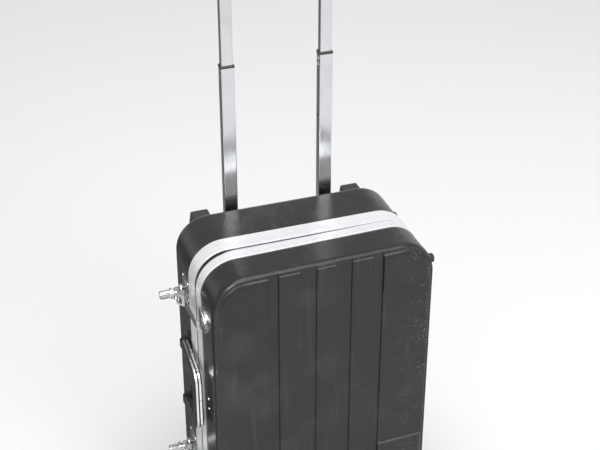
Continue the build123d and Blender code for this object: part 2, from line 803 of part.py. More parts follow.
with BuildPart() as stage1_shoes:
    for x in tube_sides.values():
        bore = grown(housing_section, -housing_wall - shoe_slip)
        block(bore, x, stage1_bottom_z - shoe_flange, stage1_bottom_z, radius=1.2)
        block(grown(stage1_section, -stage1_wall), x, stage1_bottom_z, stage1_bottom_z + shoe_length,
              radius=tube_corner - stage1_wall / 2)
        block((9, 6), x, stage1_bottom_z - shoe_flange, stage1_bottom_z + shoe_length, Mode.SUBTRACT)
save("stage1_shoes", stage1_shoes.part)

with BuildPart() as stage2_shoes:
    for x in tube_sides.values():
        bore = grown(stage1_section, -stage1_wall - shoe_slip)
        block(bore, x, stage2_bottom_z - shoe_flange, stage2_bottom_z, radius=1.2)
        block(grown(stage2_section, -stage2_wall), x, stage2_bottom_z, stage2_bottom_z + shoe_length,
              radius=tube_corner - stage2_wall / 2)
        with BuildSketch(level(stage2_bottom_z - shoe_flange, x, tube_y)):
            Circle(rod_radius + 2 * running_clearance)
        extrude(amount=shoe_flange + shoe_length, mode=Mode.SUBTRACT)
save("stage2_shoes", stage2_shoes.part)

bracket_back_y = tube_y + housing_section[1] / 2 + 3
bracket_width = tube_pitch + housing_section[0] + 2 * tube_bracket_margin
bracket_screw_x = tube_pitch / 2 - housing_section[0] / 2 - 9
lower_bracket_z = housing_bottom_z - 3
stand_off_top_z = case_top_z - stand_off_drop
stand_off_mid_z = stand_off_top_z - stand_off_height / 2


def tube_bracket(low, socket_low):
    """Moulded cross piece that holds both housing tubes off the back shell."""
    middle_y = (back_y + bracket_back_y) / 2
    with BuildPart() as bracket:
        with BuildSketch(level(low, 0, middle_y)):
            RectangleRounded(bracket_width, bracket_back_y - back_y, 3)
        extrude(amount=tube_bracket_height)
        waist = 2 * (bracket_screw_x - 9)
        with BuildSketch(level(low, 0, bracket_back_y)):
            Rectangle(waist, 2 * (bracket_back_y - back_y - 14))
        extrude(amount=tube_bracket_height, mode=Mode.SUBTRACT)
        for x in tube_sides.values():
            block(housing_section, x, socket_low, low + tube_bracket_height, Mode.SUBTRACT)
        with BuildSketch(facing_front(back_y, 0, low + tube_bracket_height / 2)):
            with Locations((-bracket_screw_x, 0), (bracket_screw_x, 0)):
                Circle(2)
        extrude(amount=-60, mode=Mode.SUBTRACT)
        with BuildSketch(facing_front(back_y + 14, 0, low + tube_bracket_height / 2)):
            with Locations((-bracket_screw_x, 0), (bracket_screw_x, 0)):
                Circle(4.6)
        extrude(amount=-60, mode=Mode.SUBTRACT)
    return bracket.part


save("tube_bracket_upper", tube_bracket(upper_bracket_top - tube_bracket_height,
                                        upper_bracket_top - tube_bracket_height))
save("tube_bracket_lower", tube_bracket(lower_bracket_z, housing_bottom_z))

with BuildPart() as case_screws:
    for height in (upper_bracket_top - tube_bracket_height / 2, lower_bracket_z + tube_bracket_height / 2):
        with BuildSketch(facing_front(back_y, 0, height)):
            with Locations((-bracket_screw_x, 0), (bracket_screw_x, 0)):
                Circle(2)
        extrude(amount=-14)
        with BuildSketch(facing_front(back_y + 14, 0, height)):
            with Locations((-bracket_screw_x, 0), (bracket_screw_x, 0)):
                Circle(4.2)
        extrude(amount=-2.6)
        for x in (-bracket_screw_x, bracket_screw_x):
            with BuildSketch(facing_front(back_y + 16.6, x, height)):
                Rectangle(5, 1.1)
                Rectangle(1.1, 5)
            extrude(amount=1.4, mode=Mode.SUBTRACT)
    for x in (-stand_off_x, stand_off_x):
        with BuildSketch(facing_front(back_y + stand_off_depth - 10, x, stand_off_mid_z)):
            Circle(4.6)
        extrude(amount=-3)
        with BuildSketch(facing_front(back_y + stand_off_depth - 7, x, stand_off_mid_z)):
            Rectangle(5.5, 1.2)
            Rectangle(1.2, 5.5)
        extrude(amount=1.6, mode=Mode.SUBTRACT)
save("case_screws", case_screws.part)

# ---- grip, release button and rods ----
button_slot = (button_length + 0.6, button_width + 0.6)
cavity_section = (grip_width - 2 * grip_wall, grip_depth - 2 * grip_wall)
with BuildPart() as grip_body:
    with BuildSketch(level(grip_bar_z, 0, tube_y)):
        RectangleRounded(grip_width, grip_depth, 11)
    extrude(amount=grip_height)
    fillet(faces().sort_by(Axis.Z)[-1].edges(), 6)
    for x in tube_sides.values():
        end = grip_width / 2 - tube_pitch / 2
        with BuildSketch(level(grip_bottom_z, x, tube_y)):
            RectangleRounded(2 * end, grip_depth - 4, 8)
        extrude(amount=grip_end_drop)
    block(cavity_section, 0, grip_bar_z, cavity_top_z, Mode.SUBTRACT, radius=4)
    for x in tube_sides.values():
        block(stage2_section, x, grip_bottom_z, grip_bar_z, Mode.SUBTRACT)
    block(button_slot, 0, cavity_top_z, grip_top_z, Mode.SUBTRACT, radius=button_width / 2)
save("grip_body", grip_body.part)

with BuildPart() as grip_cover:
    block(cavity_section, 0, grip_bar_z, cavity_floor_z, radius=4)
    for x in tube_sides.values():
        block(stage2_section, x, grip_bar_z, cavity_floor_z, Mode.SUBTRACT)
save("grip_cover", grip_cover.part)

bar_thickness = 4.0
bar_low_z = cavity_top_z - button_height - bar_thickness
with BuildPart() as release_button:
    block((button_length, button_width), 0, bar_low_z + bar_thickness, grip_top_z + button_proud,
          radius=button_width / 2 - 0.1)
    fillet(faces().sort_by(Axis.Z)[-1].edges(), 1.6)
    block((tube_pitch + 14, 9), 0, bar_low_z, bar_low_z + bar_thickness, radius=4)
    for x in tube_sides.values():
        with BuildSketch(level(bar_low_z, x, tube_y)):
            Circle(rod_radius)
        extrude(amount=bar_thickness, mode=Mode.SUBTRACT)
save("release_button", release_button.part)

with BuildPart() as release_rods:
    for x in tube_sides.values():
        with BuildSketch(level(stage2_bottom_z - shoe_flange + button_travel + 1, x, tube_y)):
            Circle(rod_radius)
        extrude(amount=bar_low_z + bar_thickness - (stage2_bottom_z - shoe_flange + button_travel + 1))
save("release_rods", release_rods.part)

# ---- blocks at the top back corners ----
with BuildPart() as stand_offs:
    for side in (-1, 1):
        with BuildSketch(facing_front(back_y, side * stand_off_x, stand_off_top_z)):
            with BuildLine():
                Polyline((-stand_off_top_width / 2, 0), (stand_off_top_width / 2, 0),
                         (stand_off_base_width / 2, -stand_off_height),
                         (-stand_off_base_width / 2, -stand_off_height), close=True)
            make_face()
        extrude(amount=-stand_off_depth)
    fillet(edges().filter_by(Axis.Y), 3)
    fillet(faces().filter_by(Axis.Y).sort_by(Axis.Y)[-2:].edges(), 2.5)
    for side in (-1, 1):
        with BuildSketch(facing_front(back_y + stand_off_depth, side * stand_off_x, stand_off_mid_z)):
            Circle(5)
        extrude(amount=10, mode=Mode.SUBTRACT)
save("stand_offs", stand_offs.part)


# ---- side feet on the right ----
def side_feet(y, rise):
    """Conical side feet at both ends of the case, trimmed to the shell's side."""
    for side in (-1, 1):
        height = mid_z + side * (case_height / 2 - side_foot_inset)
        with BuildSketch(facing_right(side_x - 8, y, height)) as section:
            Circle(side_foot_radius + 1.5)
        extrude(section.sketch, amount=rise + 8, taper=8)
    with BuildSketch(facing_front(front_y)) as section:
        outline()
    extrude(section.sketch, amount=-(back_y - front_y), mode=Mode.SUBTRACT)


def foot_studs(y, rise):
    """Domed studs in the ends of the side feet."""
    for side in (-1, 1):
        height = mid_z + side * (case_height / 2 - side_foot_inset)
        with BuildSketch(facing_right(side_x + rise, y, height)) as section:
            Circle(stud_radius)
        extrude(section.sketch, amount=stud_height)
    fillet(faces().filter_by(Axis.X).sort_by(Axis.X)[-2:].edges(), stud_height - 0.4)


with BuildPart() as back_side_feet:
    side_feet(front_y + back_side_foot_y, back_foot_height)
save("back_side_feet", back_side_feet.part)

with BuildPart() as back_foot_studs:
    foot_studs(front_y + back_side_foot_y, back_foot_height)
save("back_foot_studs", back_foot_studs.part)

with BuildPart() as lid_side_feet:
    side_feet(front_y + lid_side_foot_y, lid_foot_height)
save_on_lid("lid_side_feet", lid_side_feet.part)

with BuildPart() as lid_foot_studs:
    foot_studs(front_y + lid_side_foot_y, lid_foot_height)
save_on_lid("lid_foot_studs", lid_foot_studs.part)

# ---- wheels ----
axle_y = back_y + axle_behind_back
axle_z = wheel_radius
pocket = hub_width + 2 * cheek_gap
housing_width = pocket + 2 * wheel_cheek

for name, x in {"left": -wheel_x, "right": wheel_x}.items():
    with BuildPart() as tyre:
        with BuildSketch(facing_right(x - wheel_width / 2, axle_y, axle_z)):
            Circle(wheel_radius)
        extrude(amount=wheel_width)
        fillet(edges(), 3.5)
        with BuildSketch(facing_right(x - wheel_width / 2, axle_y, axle_z)):
            Circle(wheel_radius - tyre_thickness)
        extrude(amount=wheel_width, mode=Mode.SUBTRACT)
    save(f"tyre_{name}", tyre.part)

    with BuildPart() as hub:
        with BuildSketch(facing_right(x - wheel_width / 2, axle_y, axle_z)):
            Circle(wheel_radius - tyre_thickness)
        extrude(amount=wheel_width)
        dish = 7.0
        for plane in (facing_right(x + wheel_width / 2, axle_y, axle_z),
                      facing_left(x - wheel_width / 2, axle_y, axle_z)):
            with BuildSketch(plane):
                Circle(wheel_radius - tyre_thickness - 2.5)
                Circle(bearing_radius + 2, mode=Mode.SUBTRACT)
                with PolarLocations(0, 5):
                    Rectangle(2 * wheel_radius, 4, mode=Mode.SUBTRACT)
            extrude(amount=-dish, mode=Mode.SUBTRACT)
            with BuildSketch(plane):
                Circle(bearing_radius)
            extrude(amount=-bearing_width, mode=Mode.SUBTRACT)
        with BuildSketch(facing_right(x - wheel_width / 2, axle_y, axle_z)):
            Circle(axle_radius + 1)
        extrude(amount=wheel_width, mode=Mode.SUBTRACT)
    save(f"hub_{name}", hub.part)

    with BuildPart() as bearings:
        for low in (x - hub_width / 2, x + wheel_width / 2 - bearing_width):
            with BuildSketch(facing_right(low, axle_y, axle_z)):
                Circle(bearing_radius)
                Circle(axle_radius + running_clearance, mode=Mode.SUBTRACT)
            extrude(amount=bearing_width + (hub_width - wheel_width) / 2)
    save(f"wheel_bearings_{name}", bearings.part)

    with BuildPart() as wheel_housing:
        with BuildSketch(facing_right(x - housing_width / 2, back_y, 0)):
            with BuildLine():
                Polyline((0, wheel_block_top), (wheel_block_depth - 12, wheel_block_top),
                         (wheel_block_depth, wheel_block_top - 26), (wheel_block_depth, axle_z + 20))
                Line((wheel_block_depth, axle_z + 20), (axle_behind_back + 11, axle_z - 6))
                ThreePointArc((axle_behind_back + 11, axle_z - 6), (axle_behind_back, axle_z - 12.5),
                              (axle_behind_back - 11, axle_z - 6))
                Line((axle_behind_back - 11, axle_z - 6), (0, ground_clearance + 10))
                Line((0, ground_clearance + 10), (0, wheel_block_top))
            make_face()
        extrude(amount=housing_width)
        with BuildSketch(facing_right(x - pocket / 2, axle_y, axle_z)):
            Circle(wheel_radius + wheel_gap)
            with Locations((0, -wheel_radius)):
                Rectangle(2 * (wheel_radius + wheel_gap), 2 * wheel_radius)
        extrude(amount=pocket, mode=Mode.SUBTRACT)
        with BuildSketch(facing_right(x - housing_width / 2, axle_y, axle_z)):
            Circle(axle_radius)
        extrude(amount=housing_width, mode=Mode.SUBTRACT)
    save(f"wheel_housing_{name}", wheel_housing.part)

with BuildPart() as wheel_axles:
    for x in (-wheel_x, wheel_x):
        with BuildSketch(facing_right(x - housing_width / 2, axle_y, axle_z)):
            Circle(axle_radius)
        extrude(amount=housing_width)
        for low in (x - housing_width / 2 - axle_head_length, x + housing_width / 2):
            with BuildSketch(facing_right(low, axle_y, axle_z)):
                Circle(axle_head_radius)
            extrude(amount=axle_head_length)
    head_edges = wheel_axles.edges().filter_by(GeomType.CIRCLE).sort_by(Axis.X)
    fillet([head_edges[0], head_edges[-1]], 0.8)
save("wheel_axles", wheel_axles.part)

# ---- front foot rail under the lid ----
with BuildPart() as foot_rail:
    with BuildSketch(facing_front(-rail_width / 2, 0, 0)):
        with BuildLine():
            Polyline((-rail_length / 2, rail_pad), (rail_length / 2, rail_pad),
                     (rail_top_length / 2, case_bottom_z), (-rail_top_length / 2, case_bottom_z), close=True)
        make_face()
        opening = case_bottom_z - rail_pad - rail_skid_height
        with Locations((0, case_bottom_z - opening / 2)):
            Rectangle(rail_length - 2 * rail_leg, opening, mode=Mode.SUBTRACT)
    extrude(amount=-rail_width)
    for x in (-rail_screw_x, rail_screw_x):
        with BuildSketch(level(case_bottom_z, x, 0)):
            Circle(2)
        extrude(amount=-20, mode=Mode.SUBTRACT)
save_on_lid("foot_rail", foot_rail.part)

with BuildPart() as foot_rail_pad:
    with BuildSketch(level(0)):
        RectangleRounded(rail_length - 4, rail_width - 2, 3)
    extrude(amount=rail_pad)
save_on_lid("foot_rail_pad", foot_rail_pad.part)
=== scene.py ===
"""Looks of the rolling flight case: finishes, linings, packing straps, pocket, floor, lights and camera."""

import json
import logging
import math
from dataclasses import dataclass
from enum import Enum
from typing import Callable, Optional, Sequence, Union

import bpy
import bmesh
from mathutils import Matrix, Vector

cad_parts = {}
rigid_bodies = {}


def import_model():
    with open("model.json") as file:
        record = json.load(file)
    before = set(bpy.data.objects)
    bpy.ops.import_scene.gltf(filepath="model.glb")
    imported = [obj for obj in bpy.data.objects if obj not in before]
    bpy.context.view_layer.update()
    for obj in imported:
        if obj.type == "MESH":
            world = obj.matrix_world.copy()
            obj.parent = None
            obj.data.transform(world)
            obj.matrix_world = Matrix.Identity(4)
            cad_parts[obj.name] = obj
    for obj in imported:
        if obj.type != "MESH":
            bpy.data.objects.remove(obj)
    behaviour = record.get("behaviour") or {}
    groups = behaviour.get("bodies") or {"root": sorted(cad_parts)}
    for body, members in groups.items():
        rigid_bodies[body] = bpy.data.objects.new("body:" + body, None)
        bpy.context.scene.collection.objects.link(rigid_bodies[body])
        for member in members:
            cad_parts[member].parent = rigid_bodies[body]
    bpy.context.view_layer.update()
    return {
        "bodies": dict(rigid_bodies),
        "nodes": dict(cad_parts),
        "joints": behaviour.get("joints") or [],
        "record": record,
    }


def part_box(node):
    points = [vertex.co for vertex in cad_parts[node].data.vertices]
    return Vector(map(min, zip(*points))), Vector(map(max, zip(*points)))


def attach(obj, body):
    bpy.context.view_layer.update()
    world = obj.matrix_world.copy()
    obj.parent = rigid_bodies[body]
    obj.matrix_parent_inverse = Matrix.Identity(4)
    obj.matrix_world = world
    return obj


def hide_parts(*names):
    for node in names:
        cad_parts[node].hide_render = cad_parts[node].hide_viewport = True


log = logging.getLogger("flight_case")

Colour = tuple[float, float, float]
Point = tuple[float, float, float]

NO_STRETCH: Point = (1.0, 1.0, 1.0)
LID_LINING_SPAN = (-0.0253, 0.036)   # the lid lining's floor and rim with the lid shut


# ---------------------------------------------------------------- shader expressions

class Wire:
    """A socket, or a number, that can be used in sums and adds its own Math nodes."""

    def __init__(self, bench: "Bench", value: Union[float, bpy.types.NodeSocket]) -> None:
        """Keep the bench that the nodes are added to, and the value."""
        self.bench = bench
        self.value = value

    def _sum(self, operation: str, first: "Operand", second: "Operand") -> "Wire":
        """Add a Math node.

        Args:
            operation: the Math node's operation.
            first: its first value.
            second: its second value.

        Returns:
            The node's result.
        """
        return self.bench.add("ShaderNodeMath", {"operation": operation}, {0: first, 1: second})

    def __add__(self, other: "Operand") -> "Wire":
        """Sum."""
        return self._sum("ADD", self, other)

    __radd__ = __add__

    def __mul__(self, other: "Operand") -> "Wire":
        """Product."""
        return self._sum("MULTIPLY", self, other)

    __rmul__ = __mul__

    def __sub__(self, other: "Operand") -> "Wire":
        """Difference."""
        return self._sum("SUBTRACT", self, other)

    def __rsub__(self, other: "Operand") -> "Wire":
        """Difference with the other value first."""
        return self._sum("SUBTRACT", other, self)

    def __abs__(self) -> "Wire":
        """Size without sign."""
        return self._sum("ABSOLUTE", self, 0.0)

    def ramp(self, low: float, high: float) -> "Wire":
        """Smooth step from 0 at low to 1 at high.

        Args:
            low: value that gives 0.
            high: value that gives 1; it may be the smaller one.

        Returns:
            The step.
        """
        settings = {"interpolation_type": "SMOOTHSTEP", "clamp": True}
        ends = {"From Min": low, "From Max": high, "To Min": 0.0, "To Max": 1.0}
        return self.bench.add("ShaderNodeMapRange", settings, {"Value": self, **ends})


Operand = Union[Wire, float]


class Bench:
    """One material in the making: its tree, its shader and the ways to add nodes to it."""

    def __init__(self, name: str) -> None:
        """Make an empty material with one Principled shader."""
        self.material = bpy.data.materials.new(name)
        self.material.use_nodes = True
        self.nodes = self.material.node_tree.nodes
        self.links = self.material.node_tree.links
        self.shader = next(n for n in self.nodes if n.type == "BSDF_PRINCIPLED")

    def add(self, kind: str, settings: dict[str, object], inputs: dict[Union[int, str], object],
            output: Union[int, str] = 0) -> Wire:
        """Add a node.

        Args:
            kind: the node's type.
            settings: its own settings, set first.
            inputs: values or wires for its sockets.
            output: which of its outputs to give back.

        Returns:
            The output as a wire.
        """
        node = self.nodes.new(kind)
        for name, value in settings.items():
            setattr(node, name, value)
        for name, value in inputs.items():
            self.feed(node.inputs[name], value)
        return Wire(self, node.outputs[output])

    def feed(self, socket: bpy.types.NodeSocket, value: object) -> None:
        """Set a socket to a number, a colour or a wire."""
        if isinstance(value, Wire):
            value = value.value
        if isinstance(value, bpy.types.NodeSocket):
            self.links.new(value, socket)
        elif socket.type == "RGBA" and not isinstance(value, (int, float)) and len(value) == 3:
            socket.default_value = (*value, 1.0)
        else:
            socket.default_value = value

    def place(self) -> Wire:
        """Place on the object, in metres."""
        return self.add("ShaderNodeTexCoord", {}, {}, "Object")

    def axis(self, place: Wire, letter: str) -> Wire:
        """One of a place's three numbers."""
        return self.add("ShaderNodeSeparateXYZ", {}, {0: place}, letter)

    def noise(self, place: Wire, scale: float, detail: float = 2.0, stretch: Point = NO_STRETCH) -> Wire:
        """Soft noise.

        Args:
            place: where it is read.
            scale: features to the metre.
            detail: number of finer octaves.
            stretch: how much each axis counts.

        Returns:
            Noise from 0 to 1.
        """
        if stretch != NO_STRETCH:
            stretched = {"Vector": place, "Scale": stretch}
            place = self.add("ShaderNodeMapping", {"vector_type": "POINT"}, stretched)
        grain = {"Vector": place, "Scale": scale, "Detail": detail}
        return self.add("ShaderNodeTexNoise", {}, grain, "Fac")

    def blend(self, factor: Operand, first: object, second: object) -> Wire:
        """Mix two colours."""
        return self.add("ShaderNodeMix", {"data_type": "RGBA"}, {0: factor, 6: first, 7: second}, 2)

    def bump(self, height: Wire, depth: float, before: Optional[Wire] = None) -> Wire:
        """Bump of a given depth in metres, over an earlier one if there is one."""
        inputs: dict[Union[int, str], object] = {"Height": height, "Distance": depth, "Strength": 1.0}
        if before is not None:
            inputs["Normal"] = before
        return self.add("ShaderNodeBump", {}, inputs)

    def finish(self, **sockets: object) -> bpy.types.Material:
        """Set the shader's sockets.

        Args:
            sockets: the sockets' names, with underscores for spaces, and what they take.

        Returns:
            The material.
        """
        for name, value in sockets.items():
            self.feed(self.shader.inputs[name.replace("_", " ")], value)
        return self.material


# ---------------------------------------------------------------- finishes

class Run(Enum):
    """Which way a metal's drawing or brushing lines run."""

    ROUND_THE_CASE = (0.02, 1.0, 0.02)
    UPRIGHT = (1.0, 1.0, 0.004)
    EVERY_WAY = NO_STRETCH


@dataclass(frozen=True)
class ShellPlastic:
    """Vacuum-formed black plastic: fine pebble, soft waviness, rubbed patches and specks."""

    colour: Colour = (0.011, 0.011, 0.012)
    rubbed: Colour = (0.085, 0.083, 0.082)
    specks: Colour = (0.30, 0.22, 0.19)
    pebble_per_metre: float = 1500.0
    pebble_depth: float = 0.00006
    wave_depth: float = 0.0009
    face_y: tuple[float, float] = (-0.024, -0.030)
    right_x: tuple[float, float] = (0.105, 0.185)
    left_x: tuple[float, float] = (-0.06, -0.17)
    low_z: tuple[float, float] = (0.30, 0.12)

    def make(self, name: str) -> bpy.types.Material:
        """Build the material.

        Args:
            name: the material's name.

        Returns:
            The material.
        """
        bench = Bench(name)
        place = bench.place()
        x, y, z = (bench.axis(place, letter) for letter in "XYZ")
        cloud = bench.noise(place, 9.0, 5.0)
        streaks = bench.noise(place, 60.0, 4.0, (1.0, 1.0, 0.12))
        rub = (streaks.ramp(0.56, 0.80) * 0.35 + cloud.ramp(0.50, 0.85) * 0.45)
        on_face = y.ramp(*self.face_y)
        right_side = x.ramp(*self.right_x) * on_face
        low_left = x.ramp(*self.left_x) * z.ramp(*self.low_z) * on_face
        spots = bench.noise(place, 420.0, 3.0).ramp(0.60, 0.66)
        patches = bench.noise(place, 34.0, 4.0).ramp(0.44, 0.60)
        speckle = spots * patches * (right_side + low_left * 0.6)
        tone = bench.blend(rub, self.colour, self.rubbed)
        tone = bench.blend(speckle * 0.75, tone, self.specks)
        pebble = bench.noise(place, self.pebble_per_metre, 1.0)
        wave = bench.noise(place, 22.0, 1.0)
        normal = bench.bump(pebble, self.pebble_depth, bench.bump(wave, self.wave_depth))
        rough = 0.27 + 0.03 * cloud - 0.04 * streaks + 0.25 * speckle
        return bench.finish(Base_Color=tone, Roughness=rough, Normal=normal, Specular_IOR_Level=0.45)


@dataclass(frozen=True)
class DrawnMetal:
    """Metal with fine lines along its length, cloudy wear and a few scratches."""

    colour: Colour
    worn: Colour
    run: Run
    rough: float = 0.24
    lines_per_metre: float = 900.0
    line_depth: float = 0.000015
    metallic: float = 1.0

    def make(self, name: str) -> bpy.types.Material:
        """Build the material.

        Args:
            name: the material's name.

        Returns:
            The material.
        """
        bench = Bench(name)
        place = bench.place()
        lines = bench.noise(place, self.lines_per_metre, 3.0, self.run.value)
        cloud = bench.noise(place, 26.0, 5.0)
        scratch = bench.noise(place, 130.0, 4.0, (1.0, 0.25, 0.6)).ramp(0.66, 0.72)
        tone = bench.blend(cloud.ramp(0.45, 0.8) * 0.5 + scratch * 0.2, self.colour, self.worn)
        rough = self.rough + 0.10 * (lines - 0.5) + 0.12 * (cloud - 0.5) + 0.08 * scratch
        normal = bench.bump(lines, self.line_depth)
        return bench.finish(Base_Color=tone, Metallic=self.metallic, Roughness=rough, Normal=normal)


@dataclass(frozen=True)
class Chrome:
    """Plated metal: polished, with grey bloom, pits and finger marks."""

    colour: Colour = (0.56, 0.56, 0.57)
    bloom: Colour = (0.24, 0.235, 0.23)
    rough: float = 0.10

    def make(self, name: str) -> bpy.types.Material:
        """Build the material.

        Args:
            name: the material's name.

        Returns:
            The material.
        """
        bench = Bench(name)
        place = bench.place()
        bloom = bench.noise(place, 140.0, 5.0).ramp(0.45, 0.75)
        pits = bench.noise(place, 1600.0, 2.0).ramp(0.66, 0.74)
        tone = bench.blend(bloom * 0.55 + pits * 0.3, self.colour, self.bloom)
        rough = self.rough + 0.20 * bloom + 0.2 * pits
        ripple = bench.noise(place, 320.0, 1.0)
        normal = bench.bump(ripple, 0.00005)
        return bench.finish(Base_Color=tone, Metallic=1.0, Roughness=rough, Normal=normal)


@dataclass(frozen=True)
class MouldedPlastic:
    """Injection-moulded plastic or painted metal: fine spark texture, dust and faint scuffs."""

    colour: Colour
    scuffed: Colour
    rough: float = 0.5
    spark_per_metre: float = 2200.0
    spark_depth: float = 0.00004

    def make(self, name: str) -> bpy.types.Material:
        """Build the material.

        Args:
            name: the material's name.

        Returns:
            The material.
        """
        bench = Bench(name)
        place = bench.place()
        cloud = bench.noise(place, 45.0, 4.0)
        scuff = bench.noise(place, 190.0, 3.0, (1.0, 0.3, 0.7)).ramp(0.60, 0.74)
        tone = bench.blend(scuff * 0.4 + cloud.ramp(0.5, 0.9) * 0.3, self.colour, self.scuffed)
        rough = self.rough + 0.14 * (cloud - 0.5) + 0.1 * scuff
        spark = bench.noise(place, self.spark_per_metre, 2.0)
        return bench.finish(Base_Color=tone, Roughness=rough, Normal=bench.bump(spark, self.spark_depth))


@dataclass(frozen=True)
class Rubber:
    """Moulded rubber with dust in its grain."""

    colour: Colour = (0.020, 0.020, 0.021)
    dust: Colour = (0.11, 0.105, 0.10)

    def make(self, name: str) -> bpy.types.Material:
        """Build the material.

        Args:
            name: the material's name.

        Returns:
            The material.
        """
        bench = Bench(name)
        place = bench.place()
        grain = bench.noise(place, 900.0, 3.0)
        dust = bench.noise(place, 85.0, 5.0).ramp(0.48, 0.78)
        tone = bench.blend(dust * 0.45, self.colour, self.dust)
        return bench.finish(Base_Color=tone, Roughness=0.68 + 0.18 * dust, Normal=bench.bump(grain, 0.0001))


@dataclass(frozen=True)
class Cloth:
    """Plain woven cloth: two sets of threads with uneven colour, painted shade between the threads and a
    painted highlight on their crowns, and a soft nap.
    """

    colour: Colour
    # lighter tone: the yarn's lighter colour for slub and cloud, and also the painted highlight on thread
    # crowns
    light: Colour
    threads_per_metre: float = 900.0
    thread_depth: float = 0.00022
    sheen: float = 0.3

    def make(self, name: str) -> bpy.types.Material:
        """Build the material.

        Args:
            name: the material's name.

        Returns:
            The material.
        """
        bench = Bench(name)
        place = bench.place()
        x, y, z = (bench.axis(place, letter) for letter in "XYZ")
        turn = 2 * math.pi * self.threads_per_metre / 2

        def threads(along: Wire, shift: float) -> Wire:
            """Rows of round threads across one direction."""
            return abs(bench.add("ShaderNodeMath", {"operation": "SINE"}, {0: along * turn + shift}))

        over = (bench.add("ShaderNodeMath", {"operation": "SINE"}, {0: (x + y) * turn})
                * bench.add("ShaderNodeMath", {"operation": "SINE"}, {0: (z + y) * turn})).ramp(-0.3, 0.3)
        thread_relief_and_painted_shade = threads(x + y, 0.0) * over + threads(z + y, 0.0) * (1 - over)
        slub = bench.noise(place, 260.0, 3.0, (1.0, 1.0, 0.15))
        cloud = bench.noise(place, 14.0, 4.0)
        # the thread-height term paints shade between the threads and a highlight on their crowns; slub and
        # cloud are the yarn's uneven colour
        tone = bench.blend(thread_relief_and_painted_shade * 0.5 + slub * 0.3 + cloud * 0.2, self.colour, self.light)
        rough = 0.82 + 0.12 * (cloud - 0.5)
        normal = bench.bump(thread_relief_and_painted_shade + 0.35 * slub, self.thread_depth)
        return bench.finish(Base_Color=tone, Roughness=rough, Normal=normal, Sheen_Weight=self.sheen,
                            Sheen_Roughness=0.5)


class Finishes:
    """The case's finishes, each made once."""

    def __init__(self) -> None:
        """Make every material."""
        self.shell = ShellPlastic().make("shell plastic")
        self.edge_metal = DrawnMetal((0.81, 0.815, 0.83), (0.66, 0.67, 0.70), Run.ROUND_THE_CASE, 0.40,
                                     700.0, 0.00002, 0.35).make("edge frame aluminium")
        self.tube_metal = DrawnMetal((0.62, 0.63, 0.65), (0.50, 0.51, 0.54), Run.UPRIGHT,
                                     0.17).make("drawn tube")
        self.plate = Chrome().make("lock plating")
        self.bright_steel = DrawnMetal((0.70, 0.70, 0.70), (0.42, 0.41, 0.40), Run.EVERY_WAY, 0.25,
                                       1400.0).make("bright steel")
        self.trim_metal = Chrome((0.90, 0.90, 0.91), (0.62, 0.62, 0.62), 0.14).make("handle trim")
        self.black_steel = MouldedPlastic((0.022, 0.022, 0.024), (0.10, 0.10, 0.10), 0.34, 1200.0,
                                          0.00003).make("black steel")
        self.grip_plastic = MouldedPlastic((0.018, 0.018, 0.020), (0.075, 0.075, 0.078), 0.30, 1600.0,
                                           0.00002).make("handle plastic")
        self.moulded = MouldedPlastic((0.024, 0.024, 0.026), (0.085, 0.083, 0.08), 0.52).make("moulded black")
        self.hub = MouldedPlastic((0.055, 0.055, 0.058), (0.16, 0.155, 0.15), 0.45).make("wheel hub")
        self.gasket = Rubber().make("gasket rubber")
        self.tyre = Rubber((0.026, 0.026, 0.027), (0.15, 0.14, 0.13)).make("tyre rubber")
        self.lining = Cloth((0.035, 0.036, 0.042), (0.12, 0.12, 0.135)).make("lining cloth")
        self.webbing = Cloth((0.012, 0.012, 0.014), (0.055, 0.055, 0.06), 520.0, 0.0004,
                             0.15).make("strap webbing")


def dress(frame: dict, material: bpy.types.Material, *names: str) -> None:
    """Give CAD nodes a finish.

    Args:
        material: the finish.
        names: the nodes.
    """
    for name in names:
        mesh = frame["nodes"][name].data
        if not mesh.materials:
            mesh.materials.append(material)
        for index in range(len(mesh.materials)):
            mesh.materials[index] = material
        log.info("dressed %s in %s", name, material.name)


# ---------------------------------------------------------------- modelling helpers

def clear_selection() -> None:
    """Leave nothing selected."""
    bpy.ops.object.select_all(action="DESELECT")


def start_block(name: str, low: Sequence[float], high: Sequence[float]) -> bpy.types.Object:
    """Add a box to shape, with its place in its mesh.

    Args:
        name: the piece's name.
        low: its lowest corner.
        high: its highest corner.

    Returns:
        The piece.
    """
    clear_selection()
    middle = [(a + b) / 2 for a, b in zip(low, high)]
    bpy.ops.mesh.primitive_cube_add(size=1.0, location=middle, scale=[b - a for a, b in zip(low, high)])
    piece = bpy.context.object
    piece.name = name
    bpy.ops.object.transform_apply(location=True, rotation=True, scale=True)
    return piece


def pick(piece: bpy.types.Object, mode: str, test: Callable[[Vector, Vector], bool]) -> None:
    """Select faces or edges in edit mode.

    Args:
        piece: the object in edit mode.
        mode: "FACE" or "EDGE".
        test: takes a middle and a direction, which is a face's normal or an edge's run.
    """
    bpy.ops.mesh.select_mode(type=mode)
    bpy.ops.mesh.select_all(action="DESELECT")
    shape = bmesh.from_edit_mesh(piece.data)
    for element in (shape.faces if mode == "FACE" else shape.edges):
        if mode == "FACE":
            middle, run = element.calc_center_median(), element.normal
        else:
            ends = [v.co for v in element.verts]
            middle, run = (ends[0] + ends[1]) / 2, (ends[1] - ends[0]).normalized()
        if test(middle, run):
            element.select_set(True)
    shape.select_flush_mode()
    bmesh.update_edit_mesh(piece.data)


def edit(piece: bpy.types.Object) -> None:
    """Enter edit mode on one piece alone."""
    clear_selection()
    piece.select_set(True)
    bpy.context.view_layer.objects.active = piece
    bpy.ops.object.mode_set(mode="EDIT")


def leave_edit() -> None:
    """Go back to object mode."""
    bpy.ops.object.mode_set(mode="OBJECT")


